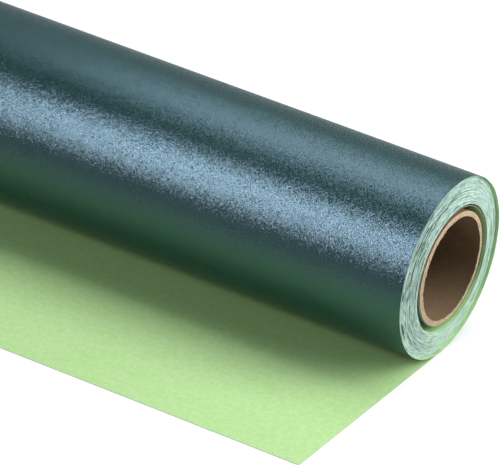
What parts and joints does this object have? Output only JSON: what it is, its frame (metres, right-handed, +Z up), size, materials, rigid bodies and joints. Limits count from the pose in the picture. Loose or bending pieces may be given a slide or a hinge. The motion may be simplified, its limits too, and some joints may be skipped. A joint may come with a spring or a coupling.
{
  "type": "backdrop paper roll",
  "caption": "Roll of two-sided backdrop paper wound on a cardboard core, lying down with a short free end drawn out flat.",
  "frame": {"origin": "on the core's axis, half way along the core", "axes": "+X along the core's axis; +Z up as the roll lies on a surface; the free end lies towards -Y"},
  "size_m": [0.6625, 0.1489, 0.0783],
  "materials": {
    "pearl_paper": "satin",
    "lime_paper": "matte",
    "cut_edges": "matte",
    "core_board": "matte",
    "core_liner": "matte",
    "tape": "satin"
  },
  "bodies": {
    "tail": {"tail": "lime_paper"},
    "tail_end": {"tail_end": "lime_paper"},
    "last_turn": {"last_turn": "pearl_paper"},
    "turns_10": {"wound_turns_10": "cut_edges"},
    "turns_9": {"wound_turns_9": "cut_edges"},
    "turns_8": {"wound_turns_8": "cut_edges"},
    "turns_7": {"wound_turns_7": "cut_edges"},
    "turns_6": {"wound_turns_6": "cut_edges"},
    "turns_5": {"wound_turns_5": "cut_edges"},
    "turns_4": {"wound_turns_4": "cut_edges"},
    "turns_3": {"wound_turns_3": "cut_edges"},
    "turns_2": {"wound_turns_2": "cut_edges"},
    "core": {"core_inner_liner": "core_liner", "core_ply_1": "core_board", "core_ply_2": "core_board", "core_ply_3": "core_board", "core_outer_liner": "core_board", "starter_tape": "tape", "lead_in_turn": "lime_paper", "wound_turns_1": "cut_edges"}
  },
  "joints": [
    {"name": "roll_along", "type": "slide", "parent": "tail", "child": "last_turn", "axis": [0, -1, 0], "range_m": [0, 0.06]},
    {"name": "pack_spin", "type": "hinge", "parent": "last_turn", "child": "turns_10", "pos_m": [0, 0, 0], "axis": [1, 0, 0], "range_deg": [0, 88.2]},
    {"name": "telescope", "type": "slide", "parent": "turns_10", "child": "turns_9", "axis": [1, 0, 0], "range_m": [-0.005, 0.005]},
    {"name": "telescope_2", "type": "slide", "parent": "turns_9", "child": "turns_8", "axis": [1, 0, 0], "range_m": [-0.005, 0.005]},
    {"name": "telescope_3", "type": "slide", "parent": "turns_8", "child": "turns_7", "axis": [1, 0, 0], "range_m": [-0.005, 0.005]},
    {"name": "telescope_4", "type": "slide", "parent": "turns_7", "child": "turns_6", "axis": [1, 0, 0], "range_m": [-0.005, 0.005]},
    {"name": "telescope_5", "type": "slide", "parent": "turns_6", "child": "turns_5", "axis": [1, 0, 0], "range_m": [-0.005, 0.005]},
    {"name": "telescope_6", "type": "slide", "parent": "turns_5", "child": "turns_4", "axis": [1, 0, 0], "range_m": [-0.005, 0.005]},
    {"name": "telescope_7", "type": "slide", "parent": "turns_4", "child": "turns_3", "axis": [1, 0, 0], "range_m": [-0.005, 0.005]},
    {"name": "telescope_8", "type": "slide", "parent": "turns_3", "child": "turns_2", "axis": [1, 0, 0], "range_m": [-0.005, 0.005]},
    {"name": "telescope_9", "type": "slide", "parent": "turns_2", "child": "core", "axis": [1, 0, 0], "range_m": [-0.005, 0.005]},
    {"name": "tail_lift", "type": "hinge", "parent": "tail", "child": "tail_end", "pos_m": [-0.0007, -0.088, -0.03905], "axis": [-1, 0, 0], "range_deg": [0, 60]}
  ],
  "couplings": [
    {"joint": "pack_spin", "follows": "roll_along", "rad_per_m": 25.641},
    {"joint": "telescope_2", "follows": "telescope", "ratio": 1},
    {"joint": "telescope_3", "follows": "telescope", "ratio": 1},
    {"joint": "telescope_4", "follows": "telescope", "ratio": 1},
    {"joint": "telescope_5", "follows": "telescope", "ratio": 1},
    {"joint": "telescope_6", "follows": "telescope", "ratio": 1},
    {"joint": "telescope_7", "follows": "telescope", "ratio": 1},
    {"joint": "telescope_8", "follows": "telescope", "ratio": 1},
    {"joint": "telescope_9", "follows": "telescope", "ratio": 1}
  ]
}
